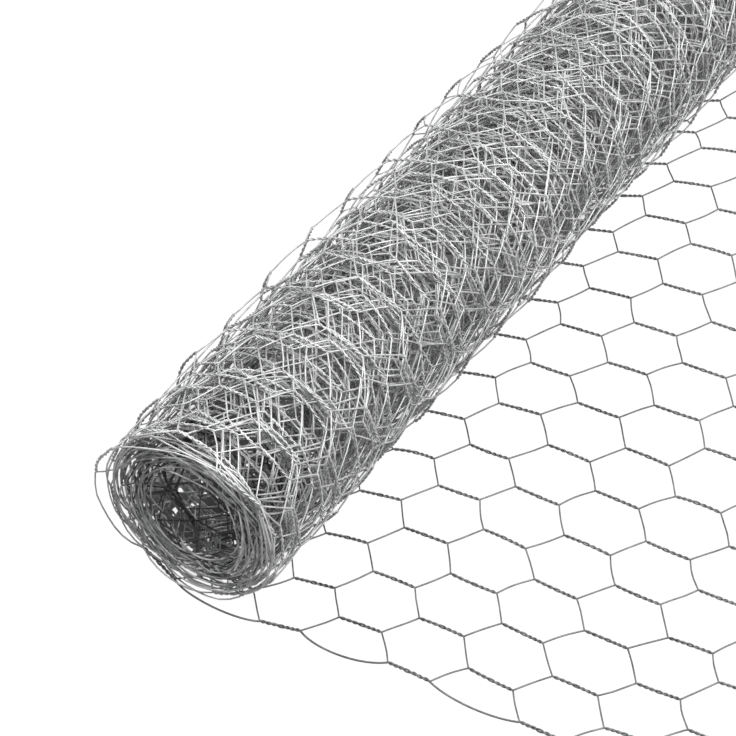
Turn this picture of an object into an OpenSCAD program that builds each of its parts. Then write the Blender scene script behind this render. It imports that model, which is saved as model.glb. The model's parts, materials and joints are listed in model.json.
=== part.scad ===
// Roll of galvanised hexagonal wire netting, lying on its side with its
// loose end run out flat on the ground.
//
// The roll's axis lies along Y. The loose end leaves the underside of the
// roll and runs out towards +X, a few degrees off square. The origin is the
// middle of the whole piece's footprint, on the ground plane, and +Z is up.
// Lengths are millimetres. The mesh is a hexagon whose two long sides are
// twisted pairs of wire that run along the length of the stock.

/* [Netting] */
// Mesh size across the flats, measured along the width of the roll
mesh_d = 25; // [13:0.5:50]
// Number of meshes across the width of the roll
mesh_n = 20; // [4:2:40]
// Distance from one row of twists to the next, along the stock
row_pitch = 25.9; // [25:0.1:60]
// Length of one twisted side
twist_l = 17.7; // [8:0.1:20]
// Diameter of one wire
wire_d = 0.7; // [0.5:0.05:1.2]

/* [Roll] */
// Length of netting in the whole piece, as it is sold
stock_l = 5000; // [2500:100:10000]
// Radius of the bore left down the middle of the roll
bore_r = 20; // [12:0.5:28]
// Radius over the outermost turn
roll_r = 37; // [30:0.5:60]
// How far the edge of one turn may sit behind the edge of the widest turn
edge_wander = 1.6; // [0:0.1:3]

/* [Loose end] */
// Rows of twists on the loose end, counted from the one under the roll
loose_rows = 9; // [3:1:12]
// Place of the first row's middle along the loose end, from the roll's axis
first_row = -7.2; // [-9:0.1:0]
// Length of the wire ends left past the last row of twists
cut_end = 3; // [1:0.5:6]
// Angle by which the loose end lies off square to the roll
askew = 3.5; // [0:0.1:5]
// How far the loose end's middle line has crept along the roll's axis
creep = -3.2; // [-8:0.1:8]

/* [Hidden] */

twist_w = 2 * wire_d;                      // two wires side by side
roll_w = mesh_n * mesh_d;                  // width of the stock
half_w = roll_w / 2 + twist_w / 2;         // to the outside of the edge wires
tuck = 8;                                  // where the loose end starts, from the axis
flap_l = first_row + (loose_rows - 1) * row_pitch + twist_l / 2 + cut_end;

// footprint of the whole piece, measured from the middle of the roll
right = cos(askew) * flap_l + sin(askew) * half_w;
start_l = (tuck - sin(askew) * half_w) / cos(askew);
front = min(-roll_w / 2, creep + sin(askew) * start_l - cos(askew) * half_w);
back = max(roll_w / 2, creep + sin(askew) * flap_l + cos(askew) * half_w);
// the roll's middle, so that the footprint's middle is the origin
roll_x = -(right - roll_r) / 2;
roll_y = -(front + back) / 2;

// turns wound in the roll: what is not lying out, over the mean girth
turns = round((stock_l - flap_l) / (PI * (roll_r + bore_r)));
turn_t = (roll_r - bore_r) / turns;

// a fixed scatter from 0 to 1, the same at every build
function scatter(i, s) = let (v = sin(i * 127.1 + s * 311.7) * 437.58) v - floor(v);

// how far turn i stops short of the full half width; the innermost and the
// outermost turn reach it, so the bore and the outside have their full length
function set_back(i, s) =
    (i == 0 || i == turns - 1) ? 0
    : edge_wander * (0.15 + 0.85 * scatter(i, s));

// one end of the wound section, turn by turn, from the bore outwards: each
// turn is a low ridge with a narrow groove before the next one
function end_line(s) = [
    for (i = [0 : turns - 1])
        let (r0 = bore_r + i * turn_t,
             h = roll_w / 2 - set_back(i, s),
             g = turn_t * 0.55)
        each concat(
            i == 0 ? [[r0, h]] : [[r0 + turn_t * 0.16, h]],
            i == turns - 1 ? [[r0 + turn_t, h]]
            : [[r0 + turn_t * 0.84, h],
               [r0 + turn_t, min(h, roll_w / 2 - set_back(i + 1, s)) - g]])
];

// the rolled part: one turned solid with its bore, a ridge for each turn on
// both of its ends
module rolled_netting() {
    near = end_line(1);
    far = end_line(2);
    n = len(far);
    color([0.66, 0.67, 0.68])
        translate([roll_x, roll_y, roll_r])
            rotate([90, 0, 0])
                rotate_extrude($fn = 120)
                    polygon(concat(
                        near,
                        [for (k = [0 : n - 1]) [far[n - 1 - k][0], -far[n - 1 - k][1]]]));
}

// slope of a slanting wire, from the end of one twist to the start of the next
slant_dx = row_pitch - twist_l;
slant_dy = mesh_d / 2;
slant_a = atan2(slant_dy, slant_dx);
// corners of the open space of one mesh, from its middle
gap_y = mesh_d / 2 - twist_w / 2;
gap_tip = row_pitch - twist_l / 2 - wire_d / 2 / sin(slant_a);
gap_x = gap_tip - gap_y / tan(slant_a);

// open space of one mesh; side 0 is whole, +1 and -1 are the half meshes
// that stand against an edge wire
module mesh_gap(side) {
    e = twist_w / 2;
    cut = gap_tip - e / tan(slant_a);
    if (side == 0)
        polygon([[gap_tip, 0], [gap_x, gap_y], [-gap_x, gap_y],
                 [-gap_tip, 0], [-gap_x, -gap_y], [gap_x, -gap_y]]);
    else
        polygon([[cut, side * e], [gap_x, side * gap_y],
                 [-gap_x, side * gap_y], [-cut, side * e]]);
}

// the net lying flat, seen from above, with the stock's middle line on X:
// its outline with every mesh taken out. Rows alternate, so the odd rows
// carry the edge twists.
module flat_net() {
    difference() {
        translate([first_row - row_pitch, -half_w])
            square([flap_l - first_row + row_pitch, 2 * half_w]);
        for (u = [0 : loose_rows - 1])
            for (v = [0 : mesh_n])
                if (u % 2 == 0) {
                    // even row: a half mesh at each edge, whole ones between
                    translate([first_row + u * row_pitch, v * mesh_d - roll_w / 2])
                        mesh_gap(v == 0 ? 1 : v == mesh_n ? -1 : 0);
                } else if (v < mesh_n) {
                    translate([first_row + u * row_pitch, (v + 0.5) * mesh_d - roll_w / 2])
                        mesh_gap(0);
                }
    }
}

// the loose end: every wire of the net as a flat bar, fused where wires
// cross, tucked up against the underside of the roll
module loose_end() {
    color([0.74, 0.75, 0.76])
        difference() {
            linear_extrude(height = twist_w)
                intersection() {
                    translate([roll_x, roll_y + creep]) rotate(askew) flat_net();
                    translate([roll_x + tuck, -roll_w])
                        square([2 * flap_l, 2 * roll_w]);
                }
            translate([roll_x, roll_y, roll_r])
                rotate([90, 0, 0])
                    cylinder(h = roll_w + 40, r = roll_r, center = true, $fn = 120);
        }
}

rolled_netting();
loose_end();
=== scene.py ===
import json
import math

import bpy
import numpy as np
from mathutils import Matrix, Vector


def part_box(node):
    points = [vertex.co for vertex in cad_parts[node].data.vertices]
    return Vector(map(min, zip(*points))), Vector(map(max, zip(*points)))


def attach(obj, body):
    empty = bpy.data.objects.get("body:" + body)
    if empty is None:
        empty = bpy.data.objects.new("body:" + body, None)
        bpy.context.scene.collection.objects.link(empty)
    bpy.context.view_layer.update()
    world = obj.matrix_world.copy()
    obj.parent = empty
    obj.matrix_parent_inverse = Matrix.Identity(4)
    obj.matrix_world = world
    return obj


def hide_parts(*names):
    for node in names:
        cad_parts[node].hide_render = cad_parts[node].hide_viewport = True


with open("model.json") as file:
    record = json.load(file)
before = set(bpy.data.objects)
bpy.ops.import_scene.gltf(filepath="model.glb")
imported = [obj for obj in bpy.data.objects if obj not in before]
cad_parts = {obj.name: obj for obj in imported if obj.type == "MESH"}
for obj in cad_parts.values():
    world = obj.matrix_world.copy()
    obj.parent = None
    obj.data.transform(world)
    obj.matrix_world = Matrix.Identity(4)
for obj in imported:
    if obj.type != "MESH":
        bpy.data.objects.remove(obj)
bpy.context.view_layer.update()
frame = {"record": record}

# ---------------------------------------------------------------------------
# Places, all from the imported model. Inside this script lengths are in
# millimetres, and turned into metres when a mesh is made.
# ---------------------------------------------------------------------------
MM = 1000.0
lo, hi = [np.array(c, float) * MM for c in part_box("rolled_netting")]
AX_X = 0.5 * (lo[0] + hi[0])            # the roll's axis
AX_Y = 0.5 * (lo[1] + hi[1])            # middle of the roll's width
AX_Z = 0.5 * (lo[2] + hi[2])
ROLL_R = 0.5 * (hi[2] - lo[2])
HALF_W = 0.5 * (hi[1] - lo[1])
CORE = [m for m in frame["record"]["mounts"] if m["name"] == "core"][0]
BORE_R = float(CORE["dims"]["r_mm"])

# ---------------------------------------------------------------------------
# The netting
# ---------------------------------------------------------------------------
WIRE = 0.64              # wire diameter
EDGE_WIRE = 0.74         # edge wire diameter
MESH = 25.0              # across the flats
PITCH = 25.9             # row to row along the stock
TWIST = 17.7             # length of a twisted side
ROW0 = -7.2              # middle of row 0 along the stock, from the roll's axis
LAST_ROW = 8             # last whole row on the loose end
ASKEW = math.radians(3.5)
CREEP = -3.2
STOCK = 5000.0           # whole length
COLS = 40                # half meshes across the width
Z_FLAT = 0.68            # height of the net's middle where it lies flat

rng = np.random.default_rng(20417)


def smooth(x, a, b):
    t = np.clip((x - a) / (b - a), 0.0, 1.0)
    return t * t * (3.0 - 2.0 * t)


class Waves:
    """A smooth seeded field over the stock: a sum of plane waves."""

    def __init__(self, n, amp, s_len, w_len, seed):
        r = np.random.default_rng(seed)
        self.ks = 2 * math.pi / r.uniform(*s_len, n) * r.choice([-1, 1], n)
        self.kw = 2 * math.pi / r.uniform(*w_len, n) * r.choice([-1, 1], n)
        self.ph = r.uniform(0, 2 * math.pi, n)
        self.a = amp * math.sqrt(2.0 / n) * r.uniform(0.6, 1.4, n)

    def __call__(self, s, w):
        out = np.zeros(np.broadcast(s, w).shape)
        for ks, kw, ph, a in zip(self.ks, self.kw, self.ph, self.a):
            out += a * np.sin(ks * s + kw * w + ph)
        return out


wave_s = Waves(8, 1.3, (90, 420), (90, 420), 11)
wave_w = Waves(8, 3.6, (90, 420), (160, 700), 12)
wave_n = Waves(9, 0.38, (45, 170), (60, 260), 13)
wave_flat = Waves(6, 0.55, (90, 220), (90, 260), 14)
wave_loose = Waves(6, 0.4, (70, 200), (60, 190), 15)

# the loose end isn't a perfect lattice: a smooth pull along and across it
PULL_IJ = [(0, 0), (0, 1), (0, 2), (0, 3), (1, 0), (1, 1), (1, 2), (2, 0), (2, 1), (3, 0)]
PULL_S = [-1.04, -2.29, -1.32, 0.47, 1.24, -4.5, -4.44, 2.49, 0.86, -3.73]
PULL_W = [1.71, 6.04, 3.83, -2.02, 0.17, 9.68, 6.13, -3.41, -1.01, 5.91]


def pull(s, w):
    xi = np.clip((s - 84.5) / 80.0, -0.94, 1.0)
    et = np.clip((w + 82.5) / 150.0, -1.11, 1.13)
    ds = np.zeros(np.broadcast(s, w).shape)
    dw = np.zeros_like(ds)
    for (i, j), a, b in zip(PULL_IJ, PULL_S, PULL_W):
        m = xi ** i * et ** j
        ds += a * m
        dw += b * m
    fade = 1 - 0.55 * smooth(w, 60, 245)
    return ds * fade, dw * fade


# axial creep of the stock as it goes into the roll: the outermost turn is
# wound a few degrees askew, then the turns inside it run true
H0_S, H1_S = -75.0, -340.0


def creep(s):
    """axial shift and its slope along the stock"""
    k = math.sin(ASKEW)
    hs = CREEP + k * s
    t = np.clip((s - H1_S) / (H0_S - H1_S), 0.0, 1.0)
    span = H0_S - H1_S
    h_end = CREEP + k * H0_S
    h00 = (3 - 2 * t) * t * t
    h11 = (t - 1) * t * t
    hin = h_end * h00 + k * span * h11
    d = (h_end * (6 * t - 6 * t * t) + k * span * (3 * t * t - 2 * t)) / span
    flat = s >= H0_S
    return np.where(flat, hs, hin), np.where(flat, k, d)


# the spiral
SLIP = 4.0               # extra stock taken up by the loose outermost turn
R_OUT = AX_Z - Z_FLAT
R_IN = BORE_R + 0.3
WOUND = STOCK - (ROW0 + LAST_ROW * PITCH + TWIST / 2 + 3.0) - SLIP
TURN_T = math.pi * (R_OUT ** 2 - R_IN ** 2) / WOUND      # thickness of one turn
PSI_END = (R_OUT - R_IN) / TURN_T * 2 * math.pi


def stand_off(psi, s, w):
    """how far the outermost turns stand off the tight ones under them: most
    at the back, and more towards the far end"""
    d = np.degrees(psi)
    far = smooth(w, -262, -90)
    rise = smooth(d, 12, 92)
    near_end = 3.3 * (1 - 0.80 * smooth(d, 102, 130))
    rest = 4.6 * (1 - 0.55 * smooth(d, 138, 190))
    late = smooth(d, 12, 122)
    a = rise * (1 - far) * near_end + late * far * rest + rise * wave_loose(s, w)
    a = a * (1 - 0.55 * smooth(d, 225, 290)) * (1 - smooth(d, 285, 345))
    second = smooth(d, 440, 480) * (1 - smooth(d, 560, 640))
    a = a + second * (0.7 + 0.35 * wave_loose(s + 400, w))
    return a


def slack_s(a, w):
    """stock taken up by the loose outermost turn"""
    return smooth(a, 6, 104) * (SLIP + 7.5 * smooth(w, -250, -150) - 8.0 * smooth(w, -110, 20))


def slack_w(a, w):
    """how far that turn is drawn along the roll"""
    g = smooth(a, 10, 80) * (1 - smooth(a, 120, 340))
    tuck = smooth(a, 86, 126) * (1 - smooth(a, 150, 340)) * (1 - smooth(w, -252, -175))
    return 6.5 * tuck + g * (7.0 * smooth(w, -252, -175) + 3.0 * smooth(w, -180, -90) - 7.0 * smooth(w, 120, 240))


def core_sag(psi, s, w):
    """the innermost turns hang looser, some into the bore"""
    left = (PSI_END - psi) / (2 * math.pi)
    g = 1 - smooth(left, 0.0, 3.2)
    lump = 1.1 * np.sin(psi + 0.7) + 1.0 * np.sin(2 * psi + 2.1 + 0.004 * w) + 1.2 * wave_loose(s, w)
    return g * (-1.2 + lump)


def to_world(s, w, n):
    """stock coordinates (along, across, height off the sheet) to the world,
    with the sheet's normal"""
    s = np.asarray(s, float)
    h, k = creep(s)
    c = np.sqrt(1 - k * k)
    x_rel = np.cos(ASKEW) * s - k * w
    y = h + c * w
    flat = x_rel >= 0
    # flat part
    zf = Z_FLAT + n + (0.35 + np.abs(wave_flat(s, w))) * smooth(x_rel, 8, 45)
    # rolled part
    a = np.maximum(-x_rel, 0.0)
    y = y + slack_w(a, w)
    a = a - slack_s(a, w)
    disc = np.maximum(R_OUT ** 2 - TURN_T * a / math.pi, R_IN ** 2 * 0.8)
    psi = (R_OUT - np.sqrt(disc)) * 2 * math.pi / TURN_T
    deep = smooth(a, 40, 260)
    r = R_OUT - TURN_T * psi / (2 * math.pi) - n
    r = r + stand_off(psi, s, w) + core_sag(psi, s, w) + deep * wave_n(s, w)
    # the stiff twists stay nearly straight, and the net turns at the junctions
    off = (s - ROW0 + PITCH / 2) % PITCH - PITCH / 2
    sag = np.maximum((TWIST / 2) ** 2 - off * off, 0.0) / (2 * np.maximum(r, 10.0))
    stiff = 0.9 - 0.45 * smooth(a, 150, 330)
    r = r - stiff * sag * smooth(a, 4, 20)
    # a roll is never quite round
    r = r * (1 + 0.010 * np.cos(2 * psi + 0.8) * deep)
    sn, cs = np.sin(psi), np.cos(psi)
    X = np.where(flat, AX_X + x_rel, AX_X - r * sn)
    Z = np.where(flat, zf, AX_Z - r * cs)
    Y = AX_Y + y
    Z = np.maximum(Z, WIRE * 0.52)
    P = np.stack([X, Y, Z], -1)
    N = np.stack([np.where(flat, 0.0, sn), np.zeros_like(X), np.where(flat, 1.0, cs)], -1)
    return P, N


def warp(s, w):
    """bends the perfect lattice: the pull on the loose end, waves in the roll"""
    g = smooth(s, -45, 5)
    ds, dw = pull(s, w)
    f = 1 - smooth(s, -60, 0)
    rim = 1 - 0.66 * smooth(np.abs(w), HALF_W - 100, HALF_W)
    return s + g * ds + f * wave_s(s, w), w + g * dw + f * rim * wave_w(s, w)


ROW_MIN = int(math.floor((-WOUND - SLIP - ROW0) / PITCH)) + 1
N_ROWS = LAST_ROW + 2 - ROW_MIN + 2
# seeded jitter of both ends of every twist, and how much each bows
JL = rng.normal(0, 1, (N_ROWS, COLS + 1, 3))
JR = rng.normal(0, 1, (N_ROWS, COLS + 1, 3))
JB = rng.normal(0, 1, (N_ROWS, COLS + 1, 2))
JD = rng.normal(0, 1, (N_ROWS, COLS + 1, 4))
JT = rng.uniform(0, 1, (N_ROWS, COLS + 1))


def jit(k):
    return np.clip(k - ROW_MIN, 0, N_ROWS - 1)


def row_s(k):
    return ROW0 + PITCH * k


def col_w(i):
    return (i - COLS / 2) * MESH / 2


def jitter_size(k):
    """spread of a junction along, across and off the sheet"""
    flat = 1.0 if k >= 1 else 0.0
    return np.array([0.38, 0.38, 0.12]) if flat else np.array([0.86, 0.92, 0.36])


def twist_ends(k, i):
    """both ends of the twists of row k at columns i"""
    q = jit(k)
    sc = jitter_size(k)
    i = np.asarray(i)
    base_w = col_w(i)
    L = np.stack([np.full(i.shape, row_s(k) - TWIST / 2), base_w, np.zeros(i.shape)], -1)
    R = np.stack([np.full(i.shape, row_s(k) + TWIST / 2), base_w, np.zeros(i.shape)], -1)
    both = 0.6 * JL[q, i] * sc
    L = L + both + 0.6 * sc * JR[q, i]
    R = R + both - 0.6 * sc * JR[q, i]
    return L, R


def tri_wave(t):
    return 1 - np.abs(2 * t - 1)


def twist_points(k, i, side, nt, radius, turns=2.0):
    """points of one strand of each twist: (len(i), nt + 1, 3)"""
    L, R = twist_ends(k, i)
    q = jit(k)
    t = np.linspace(0, 1, nt + 1)
    c = L[:, None, :] + (R - L)[:, None, :] * t[None, :, None]
    bow = 4 * t * (1 - t)
    c[:, :, 1] += 0.30 * JB[q, i, 0][:, None] * bow
    c[:, :, 2] += 0.15 * JB[q, i, 1][:, None] * bow
    eye = 0.5 + (JT[q, i] - 0.5) * 0.12
    tt = np.where(t[None, :] < eye[:, None], t[None, :] / eye[:, None],
                  (1 - t[None, :]) / (1 - eye[:, None]))
    om = 2 * math.pi * turns * tt
    if nt < 6:
        om = om * 0.0                     # deep in the pack the strands just lie side by side
    rho = radius * (1.0 + 0.22 * np.exp(-((t[None, :] - eye[:, None]) / 0.035) ** 2))
    th = side[:, None] * math.pi / 2 + om
    c[:, :, 1] += rho * np.sin(th)
    c[:, :, 2] += rho * np.cos(th)
    return c


def bezier(A, B, ha, hb, q):
    """points at q between A and B with handles ha and hb"""
    q = q[None, :, None]
    A, B = A[:, None, :], B[:, None, :]
    C1, C2 = A + ha[:, None, :], B - hb[:, None, :]
    return ((1 - q) ** 3 * A + 3 * (1 - q) ** 2 * q * C1
            + 3 * (1 - q) * q * q * C2 + q ** 3 * B)


def mesh_wires(k0, k1, nt, nd, start_cut=False, end_cut=False):
    """stock paths of the mesh wires over rows k0..k1: (COLS, points, 3)"""
    j = np.arange(COLS)
    parts = []
    rad = WIRE / 2
    for k in range(k0, k1 + 1):
        lower = (j % 2) == (k % 2)                 # the twist is on the wire's upper side
        i = np.where(lower, j + 1, j)
        side = np.where(lower, -1.0, 1.0)
        if k == k0 and start_cut:
            # the stock's inner end: short cut ends before the first twist
            P = twist_points(k, i, side, nt, rad)
            A = P[:, 0].copy()
            A[:, 0] -= 2.0 + 1.5 * JT[jit(k), i]
            A[:, 1] += side * 2.6
            parts.append(A[:, None, :])
        else:
            P = twist_points(k, i, side, nt, rad)
        parts.append(P)
        # the slanting run to the next row
        A = P[:, -1]
        i2 = np.where(lower, j, j + 1)
        side2 = -side
        if k == k1 and end_cut:
            B = A.copy()
            run = 3.0 + 1.6 * (JT[jit(k), i] - 0.5)
            B[:, 0] += run * 0.75
            B[:, 1] += side * run * 0.62
            B[:, 2] += 0.3 * JD[jit(k), j, 3]
            M = 0.5 * (A + B)
            M[:, 0] += 0.35
            parts.append(M[:, None, :])
            parts.append(B[:, None, :])
            continue
        L2, _ = twist_ends(k + 1, i2)
        B = L2.copy()
        B[:, 1] += side2 * rad
        # a straight run, a little bowed, that turns sharply into the twist
        d = JD[jit(k), j]
        q = np.linspace(0, 1, nd + 1)[1:-1]
        if nd > 3:
            q[0], q[-1] = 0.055, 0.945
        if nd > 1:
            bow = (4 * q * (1 - q))[None, :]
            run = A[:, None, :] + (B - A)[:, None, :] * q[None, :, None]
            amp = 0.32 if k >= 0 else 0.22
            run[:, :, 0] += amp * d[:, 0, None] * bow
            run[:, :, 1] += 0.5 * amp * d[:, 1, None] * bow * np.cos(math.pi * q)[None, :]
            run[:, :, 2] += 0.15 * d[:, 3, None] * bow
            parts.append(run)
        if k == k1:
            parts.append(B[:, None, :])
    return np.concatenate(parts, 1)


def edge_wires(k0, k1, nt, na, end_cut=False):
    """stock paths of the two edge wires over rows k0..k1"""
    out = []
    odd = [k for k in range(k0, k1 + 1) if k % 2 != 0]
    rad = (WIRE + EDGE_WIRE) / 4
    for i0, side in ((0, -1.0), (COLS, 1.0)):
        i = np.array([i0])
        sd = np.array([side])
        parts = []
        for n, k in enumerate(odd):
            P = twist_points(k, i, sd, nt, rad)
            parts.append(P)
            A = P[:, -1]
            L2, _ = twist_ends(k + 2, i)
            B = L2.copy()
            B[:, 1] += side * rad
            d = JD[jit(k + 1), i]
            bulge = side * ((4.5 if k > 0 else 3.6) + 0.8 * d[:, 0])
            reach = 9.0
            ha = np.stack([np.full(1, reach), bulge, 0.5 * d[:, 1]], -1)
            hb = np.stack([np.full(1, reach), -bulge, -0.5 * d[:, 2]], -1)
            last = n == len(odd) - 1
            q = np.linspace(0, 1, na + 1)[1:-1]
            if last and end_cut:
                q = np.linspace(0, 0.84, na + 1)[1:]
                parts.append(bezier(A, B, ha, hb, q))
            else:
                parts.append(bezier(A, B, ha, hb, q))
                if last:
                    parts.append(B[:, None, :])
        out.append(np.concatenate(parts, 1)[0])
    return out


# ---------------------------------------------------------------------------
# Tubes
# ---------------------------------------------------------------------------
def tube_mesh(name, runs, sides):
    """one mesh of capped tubes. runs: list of (points, normals, radius)"""
    V, F, C, UV = [], [], [], []
    caps = []
    base = 0
    nr = len(runs)
    ang = np.arange(sides) * 2 * math.pi / sides
    ca, sa = np.cos(ang), np.sin(ang)
    for r_i, (P, N, rad) in enumerate(runs):
        T = np.empty_like(P)
        T[1:-1] = P[2:] - P[:-2]
        T[0] = P[1] - P[0]
        T[-1] = P[-1] - P[-2]
        T /= np.maximum(np.linalg.norm(T, axis=1, keepdims=True), 1e-9)
        B = np.cross(T, N)
        B /= np.maximum(np.linalg.norm(B, axis=1, keepdims=True), 1e-9)
        N2 = np.cross(B, T)
        ring = (P[:, None, :] + rad * (ca[None, :, None] * N2[:, None, :]
                                       + sa[None, :, None] * B[:, None, :]))
        K = len(P)
        V.append(ring.reshape(-1, 3))
        a = np.arange(K - 1)[:, None] * sides + np.arange(sides)[None, :]
        b = np.arange(K - 1)[:, None] * sides + (np.arange(sides)[None, :] + 1) % sides
        q = np.stack([a, a + sides, b + sides, b], -1).reshape(-1, 4) + base
        F.append(q)
        # unwrapped as one long strip for each wire, none over another
        seg = np.linalg.norm(np.diff(P, axis=0), axis=1)
        u = np.concatenate([[0], np.cumsum(seg)])
        u = 0.002 + 0.990 * u / u[-1]
        v0, vh = (r_i + 0.06) / nr, 0.88 / nr
        ua = np.repeat(u[:-1], sides)
        ub = np.repeat(u[1:], sides)
        va = np.tile(v0 + vh * np.arange(sides) / sides, K - 1)
        vb = np.tile(v0 + vh * (np.arange(sides) + 1) / sides, K - 1)
        UV.append(np.stack([np.stack([ua, va], -1), np.stack([ub, va], -1),
                            np.stack([ub, vb], -1), np.stack([ua, vb], -1)], 1).reshape(-1, 2))
        caps.append((base + np.arange(sides)[::-1], base + (K - 1) * sides + np.arange(sides),
                     v0, vh, u[0], u[-1]))
        base += K * sides
    V = np.concatenate(V) / MM
    F = np.concatenate(F)
    UV = np.concatenate(UV)
    nq = len(F)
    loops = [F.reshape(-1)]
    uvs = [UV]
    for c0, c1, v0, vh, ua, ub in caps:
        loops.append(c0)
        loops.append(c1)
        for c, uu, sg in ((c0, ua, -1), (c1, ub, 1)):
            uvs.append(np.stack([uu + sg * 0.0012 * (1 + np.cos(ang)) / 2,
                                 v0 + vh * (0.5 + 0.3 * np.sin(ang))], -1))
    L = np.concatenate(loops)
    UVA = np.concatenate(uvs)
    sizes = np.concatenate([np.full(nq, 4), np.full(2 * nr, sides)])
    starts = np.concatenate([[0], np.cumsum(sizes)[:-1]])
    me = bpy.data.meshes.new(name)
    me.vertices.add(len(V))
    me.vertices.foreach_set("co", V.astype(np.float32).ravel())
    me.loops.add(len(L))
    me.loops.foreach_set("vertex_index", L.astype(np.int32))
    me.polygons.add(len(sizes))
    me.polygons.foreach_set("loop_start", starts.astype(np.int32))
    me.polygons.foreach_set("use_smooth", np.ones(len(sizes), bool))
    uvl = me.uv_layers.new(name="OFBake")
    uvl.uv.foreach_set("vector", UVA.astype(np.float32).ravel())
    me.update(calc_edges=True)
    me.validate()
    ob = bpy.data.objects.new(name, me)
    bpy.context.scene.collection.objects.link(ob)
    return ob


def place(path, radius):
    s, w = warp(path[:, 0], path[:, 1])
    P, N = to_world(s, w, path[:, 2])
    return P, N, radius


# ---------------------------------------------------------------------------
# Materials
# ---------------------------------------------------------------------------
def node(nt, kind, **kw):
    n = nt.nodes.new(kind)
    for k, v in kw.items():
        setattr(n, k, v)
    return n


def zinc_material(name, dark, light, seed, end_shade=1.0, end_from=0.0, end_to=28.0):
    """hot-dip zinc on drawn wire: dull and bright patches a few millimetres long, a fine grain,
    and a little roughness everywhere; with end_shade below 1, painted shade darkens the colour towards the roll's
    near end"""
    m = bpy.data.materials.new(name)
    m.use_nodes = True
    nt = m.node_tree
    nt.nodes.clear()
    out = node(nt, "ShaderNodeOutputMaterial")
    bs = node(nt, "ShaderNodeBsdfPrincipled")
    nt.links.new(bs.outputs["BSDF"], out.inputs["Surface"])
    tc = node(nt, "ShaderNodeTexCoord")
    mp = node(nt, "ShaderNodeMapping")
    mp.inputs["Location"].default_value = (seed, seed * 0.37, -seed * 0.71)
    nt.links.new(tc.outputs["Object"], mp.inputs["Vector"])
    # patches
    n1 = node(nt, "ShaderNodeTexNoise")
    n1.inputs["Scale"].default_value = 210.0
    n1.inputs["Detail"].default_value = 3.0
    n1.inputs["Roughness"].default_value = 0.6
    nt.links.new(mp.outputs["Vector"], n1.inputs["Vector"])
    # broad drift over the piece
    n2 = node(nt, "ShaderNodeTexNoise")
    n2.inputs["Scale"].default_value = 26.0
    n2.inputs["Detail"].default_value = 2.0
    nt.links.new(mp.outputs["Vector"], n2.inputs["Vector"])
    # grain
    n3 = node(nt, "ShaderNodeTexNoise")
    n3.inputs["Scale"].default_value = 2600.0
    n3.inputs["Detail"].default_value = 2.0
    nt.links.new(mp.outputs["Vector"], n3.inputs["Vector"])
    mx = node(nt, "ShaderNodeMath", operation="MULTIPLY_ADD")
    nt.links.new(n2.outputs["Fac"], mx.inputs[0])
    mx.inputs[1].default_value = 0.5
    nt.links.new(n1.outputs["Fac"], mx.inputs[2])
    cr = node(nt, "ShaderNodeValToRGB")
    cr.color_ramp.elements[0].position = 0.50
    cr.color_ramp.elements[0].color = (*dark, 1)
    cr.color_ramp.elements[1].position = 0.98
    cr.color_ramp.elements[1].color = (*light, 1)
    nt.links.new(mx.outputs[0], cr.inputs["Fac"])
    if end_shade < 1:
        # painted shade: the colour darkens towards the near end of the roll, where the inside of the pack lies in
        # shade
        xyz = node(nt, "ShaderNodeSeparateXYZ")
        nt.links.new(tc.outputs["Object"], xyz.inputs[0])
        er = node(nt, "ShaderNodeMapRange", interpolation_type="SMOOTHSTEP")
        er.inputs["From Min"].default_value = (AX_Y - HALF_W + end_from) / MM
        er.inputs["From Max"].default_value = (AX_Y - HALF_W + end_to) / MM
        er.inputs["To Min"].default_value = end_shade
        er.inputs["To Max"].default_value = 1.0
        nt.links.new(xyz.outputs["Y"], er.inputs["Value"])
        sc = node(nt, "ShaderNodeVectorMath", operation="SCALE")
        nt.links.new(cr.outputs["Color"], sc.inputs[0])
        nt.links.new(er.outputs["Result"], sc.inputs["Scale"])
        nt.links.new(sc.outputs["Vector"], bs.inputs["Base Color"])
    else:
        nt.links.new(cr.outputs["Color"], bs.inputs["Base Color"])
    rr = node(nt, "ShaderNodeMapRange")
    rr.inputs["From Min"].default_value = 0.3
    rr.inputs["From Max"].default_value = 0.7
    rr.inputs["To Min"].default_value = 0.48
    rr.inputs["To Max"].default_value = 0.66
    nt.links.new(n1.outputs["Fac"], rr.inputs["Value"])
    nt.links.new(rr.outputs["Result"], bs.inputs["Roughness"])
    bp = node(nt, "ShaderNodeBump")
    bp.inputs["Strength"].default_value = 0.25
    bp.inputs["Distance"].default_value = 0.00006
    nt.links.new(n3.outputs["Fac"], bp.inputs["Height"])
    nt.links.new(bp.outputs["Normal"], bs.inputs["Normal"])
    bs.inputs["Metallic"].default_value = METAL
    return m


METAL = 0.5
ZINC = zinc_material("galvanised_wire", (0.42, 0.422, 0.426), (0.80, 0.803, 0.806), 0.0)
# painted shade: the same wire coloured darker where it lies flat on the loose end; its patches and grain are the
# zinc's own
ZINC_LOOSE_END_SHADED = zinc_material("galvanised_wire_loose_end_painted_shade", (0.10, 0.102, 0.106), (0.27, 0.273, 0.276), 3.1)
# painted shade: a slightly darker copy of the wire for the turns inside the pack, darker still near the roll's near
# end
ZINC_DEEP_SHADED = zinc_material("galvanised_wire_inside_painted_shade", (0.36, 0.362, 0.366), (0.74, 0.743, 0.746), 7.3, 0.36, 0.0, 20.0)
# painted shade: a much darker copy of the wire for the innermost turns that show down the bore, darkest near the
# near end
ZINC_BORE_SHADED = zinc_material("galvanised_wire_bore_painted_shade", (0.20, 0.202, 0.206), (0.54, 0.543, 0.546), 5.9, 0.26,
                          26.0, 62.0)
ZINC_RIM = zinc_material("galvanised_wire_edge", (0.18, 0.181, 0.183), (0.90, 0.903, 0.906), 9.4)

# ---------------------------------------------------------------------------
# Pieces
# ---------------------------------------------------------------------------
TURN_ROWS = 2 * math.pi * (R_OUT - 2) / PITCH


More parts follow.
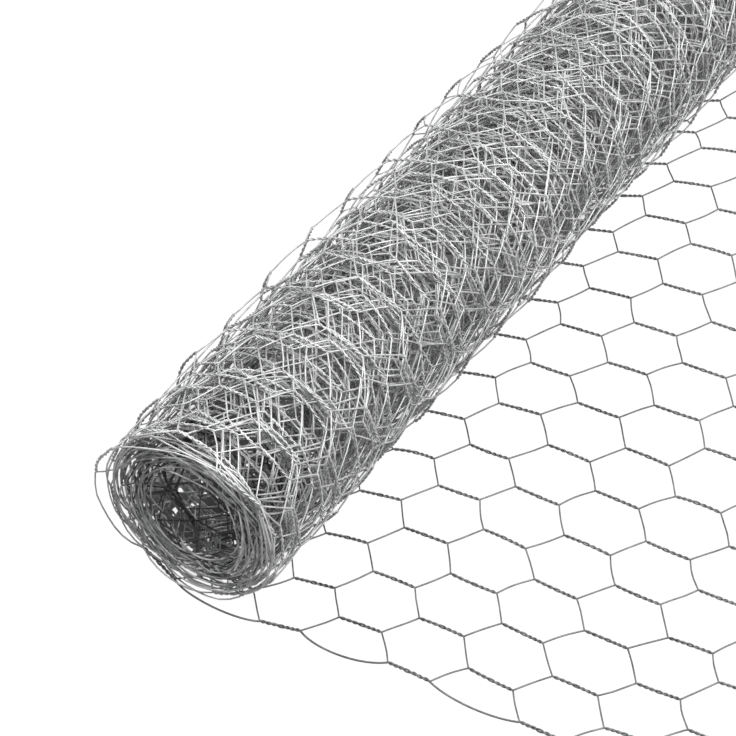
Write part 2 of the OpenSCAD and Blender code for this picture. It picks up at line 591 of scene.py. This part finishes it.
def build(name, k0, k1, nt, nd, na, sides, node_name, start_cut=False, end_cut=False, fat=1.0,
          material=None, rims=True):
    runs = []
    W = mesh_wires(k0, k1, nt, nd, start_cut, end_cut)
    for j in range(COLS):
        runs.append(place(W[j], fat * WIRE / 2))
    # edge wires start and stop on the odd rows, so neighbouring pieces share them
    e0 = k0 if k0 % 2 != 0 else k0 + 1
    if rims:
        for path in edge_wires(e0, k1, max(nt, 8), na, end_cut):
            runs.append(place(path, EDGE_WIRE / 2))
    return finish_piece(tube_mesh(name, runs, sides), material or ZINC, node_name)


def finish_piece(ob, material, node_name):
    ob.data.materials.append(material)
    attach(ob, "root")
    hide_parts(node_name)
    return ob


pieces = []
pieces.append(build("loose_end_wires", -1, LAST_ROW, 32, 6, 14, 6, "loose_end", end_cut=True,
                    material=ZINC_LOOSE_END_SHADED))
# outermost turns in full, the turns hidden in the pack plainly, and the
# innermost turns, which show down the bore, again with their twists
per = 2 * math.pi * (R_OUT - 2) / PITCH
k = -2
for n in range(4):
    k_lo = -2 - int(round(per * 2.0 * (n + 1))) + 1
    pieces.append(build("outer_turns_%s" % "abcd"[n], k_lo, k, (24, 22, 16, 12)[n], 3, 8,
                        4 if n < 3 else 3, "rolled_netting", fat=1.0 if n < 3 else 1.05))
    k = k_lo - 1
k_in = ROW_MIN + int(round(6.5 * 2 * math.pi * 22 / PITCH))
step = int(math.ceil((k - k_in) / 2.0))
for n in range(2):
    k_top = k if n == 0 else k_top
    k_lo = max(k_in, k - step + 1)
    pieces.append(build("packed_turns_%s" % "ab"[n], k_lo, k, 8, 1, 6, 3, "rolled_netting", fat=1.12,
                        material=ZINC_DEEP_SHADED, rims=False))
    k = k_lo - 1
pieces.append(build("bore_turns", ROW_MIN, k, 12, 2, 8, 3, "rolled_netting", start_cut=True, fat=1.12,
                    material=ZINC_BORE_SHADED, rims=False))
# the edge wires of all those turns, which show at both ends of the roll
rims = [place(path, EDGE_WIRE / 2)
        for path in edge_wires(ROW_MIN + (1 - ROW_MIN % 2), k_top, 10, 10)]
pieces.append(finish_piece(tube_mesh("edge_wires", rims, 4), ZINC_RIM, "rolled_netting"))

tris = sum(sum(len(p.vertices) - 2 for p in ob.data.polygons) for ob in pieces)
print("TRIANGLES", tris, {ob.name: sum(len(p.vertices) - 2 for p in ob.data.polygons) for ob in pieces})

# ---------------------------------------------------------------------------
# Floor, light, camera
# ---------------------------------------------------------------------------
BOUNCE = 0.44
fm = bpy.data.materials.new("floor")
fm.use_nodes = True
ft = fm.node_tree
fb = ft.nodes["Principled BSDF"]
fb.inputs["Base Color"].default_value = (0.04, 0.04, 0.04, 1)
fb.inputs["Roughness"].default_value = 0.9
fb.inputs["Emission Color"].default_value = (1, 1, 1, 1)


def fnode(kind, **kw):
    n = ft.nodes.new(kind)
    for key, v in kw.items():
        setattr(n, key, v)
    return n


def ramp(source, a, b, to_a, to_b):
    n = fnode("ShaderNodeMapRange", interpolation_type="SMOOTHSTEP")
    n.inputs["From Min"].default_value = a
    n.inputs["From Max"].default_value = b
    n.inputs["To Min"].default_value = to_a
    n.inputs["To Max"].default_value = to_b
    ft.links.new(source, n.inputs["Value"])
    return n.outputs["Result"]


def times(a, b):
    n = fnode("ShaderNodeMath", operation="MULTIPLY")
    ft.links.new(a, n.inputs[0])
    ft.links.new(b, n.inputs[1])
    return n.outputs[0]


# a white floor that glows evenly, but with a painted shadow under the roll where the roll's own shade would fall
ftc = fnode("ShaderNodeTexCoord")
fxyz = fnode("ShaderNodeSeparateXYZ")
ft.links.new(ftc.outputs["Object"], fxyz.inputs[0])
ax, ay = AX_X / MM, AX_Y / MM
corner = fnode("ShaderNodeMath", operation="MULTIPLY_ADD")
left = fnode("ShaderNodeMath", operation="MINIMUM")
ft.links.new(fxyz.outputs["X"], left.inputs[0])
left.inputs[1].default_value = ax - 0.020
ft.links.new(left.outputs[0], corner.inputs[0])
corner.inputs[1].default_value = 0.55
ft.links.new(fxyz.outputs["Y"], corner.inputs[2])
cq = ay + 0.55 * (ax - 0.020)
shade = times(times(ramp(fxyz.outputs["X"], ax - 0.062, ax - 0.036, 0, 1),
                    ramp(fxyz.outputs["X"], ax + 0.000, ax + 0.022, 1, 0)),
              times(ramp(corner.outputs[0], cq - 0.250, cq - 0.238, 0, 1),
                    ramp(fxyz.outputs["Y"], ay + 0.205, ay + 0.250, 1, 0)))
dapple = fnode("ShaderNodeTexNoise")
dapple.inputs["Scale"].default_value = 190.0
dapple.inputs["Detail"].default_value = 1.0
ft.links.new(ftc.outputs["Object"], dapple.inputs["Vector"])
# painted light spots in that painted shadow, as if light got through the mesh, mostly at the near end
spots = ramp(dapple.outputs["Fac"], 0.60, 0.66, 0.0, 0.9)
spots = times(spots, ramp(fxyz.outputs["Y"], ay - 0.180, ay - 0.120, 1.0, 0.3))
shade = times(shade, ramp(spots, 0.0, 1.0, 1.0, 0.0))
ft.nodes[-2].interpolation_type = "LINEAR"
glow = ramp(shade, 0.0, 1.0, 0.985, 0.10)
ft.nodes[-1].interpolation_type = "LINEAR"
# painted shadow: near the roll's near end the painted shadow is darker still, so the floor seen through the bore
# shows dark
under_end = ramp(fxyz.outputs["Y"], ay - 0.175, ay - 0.120, 0.0, 1.0)
deep_end = ramp(shade, 0.0, 1.0, 0.985, 0.012)
ft.nodes[-1].interpolation_type = "LINEAR"
glow_mix = fnode("ShaderNodeMix", data_type="FLOAT")
ft.links.new(under_end, glow_mix.inputs[0])
ft.links.new(deep_end, glow_mix.inputs[2])
ft.links.new(glow, glow_mix.inputs[3])
glow = glow_mix.outputs[0]
# it shows white, and sends less than that back up, as if it were far away
path = fnode("ShaderNodeLightPath")
bounce = ramp(path.outputs["Is Camera Ray"], 0.0, 1.0, BOUNCE, 1.0)
ft.nodes[-1].interpolation_type = "LINEAR"
ft.links.new(times(glow, bounce), fb.inputs["Emission Strength"])
me = bpy.data.meshes.new("floor")
S = 6.0
me.from_pydata([(-S, -S, 0), (S, -S, 0), (S, S, 0), (-S, S, 0)], [], [(0, 1, 2, 3)])
floor = bpy.data.objects.new("floor", me)
floor.data.materials.append(fm)
bpy.context.scene.collection.objects.link(floor)

world = bpy.data.worlds.new("studio")
bpy.context.scene.world = world
world.use_nodes = True
wt = world.node_tree
bg = wt.nodes["Background"]
bg.inputs["Color"].default_value = (1, 1, 1, 1)
bg.inputs["Strength"].default_value = 0.16
# the studio's far wall shows as white as its floor
wall = wt.nodes.new("ShaderNodeBackground")
wall.inputs["Color"].default_value = (1, 1, 1, 1)
wall.inputs["Strength"].default_value = 0.985
seen = wt.nodes.new("ShaderNodeLightPath")
both = wt.nodes.new("ShaderNodeMixShader")
wt.links.new(seen.outputs["Is Camera Ray"], both.inputs[0])
wt.links.new(bg.outputs[0], both.inputs[1])
wt.links.new(wall.outputs[0], both.inputs[2])
wt.links.new(both.outputs[0], wt.nodes["World Output"].inputs["Surface"])


def area(name, at, to, size, power):
    d = bpy.data.lights.new(name, "AREA")
    d.shape = "RECTANGLE"
    d.size, d.size_y = size
    d.energy = power
    o = bpy.data.objects.new(name, d)
    o.location = at
    o.rotation_euler = (Vector(to) - Vector(at)).to_track_quat("-Z", "Y").to_euler()
    bpy.context.scene.collection.objects.link(o)
    return o


area("key", (0.86, 0.10, 1.69), (-0.09, 0, 0.03), (1.25, 1.25), 53)
area("fill", (-1.05, -0.45, 1.25), (-0.09, -0.05, 0.03), (1.2, 1.2), 16)

CAM_AT = Vector((0.37378, -0.87385, 0.83518))
AZ, EL = math.radians(32.64), math.radians(43.26)
right = Vector((math.cos(AZ), math.sin(AZ), 0))
back = Vector((math.sin(AZ) * math.cos(EL), -math.cos(AZ) * math.cos(EL), math.sin(EL)))
up = back.cross(right)
cd = bpy.data.cameras.new("camera")
cd.sensor_width = 36.0
cd.sensor_fit = "HORIZONTAL"
cd.lens = 3213.46 / 736 * 36.0
cd.clip_start, cd.clip_end = 0.05, 50
cam = bpy.data.objects.new("camera", cd)
rot = Matrix((right, up, back)).transposed()
cam.matrix_world = Matrix.Translation(CAM_AT) @ rot.to_4x4()
bpy.context.scene.collection.objects.link(cam)
bpy.context.scene.camera = cam
bpy.context.scene.view_settings.view_transform = "Standard"
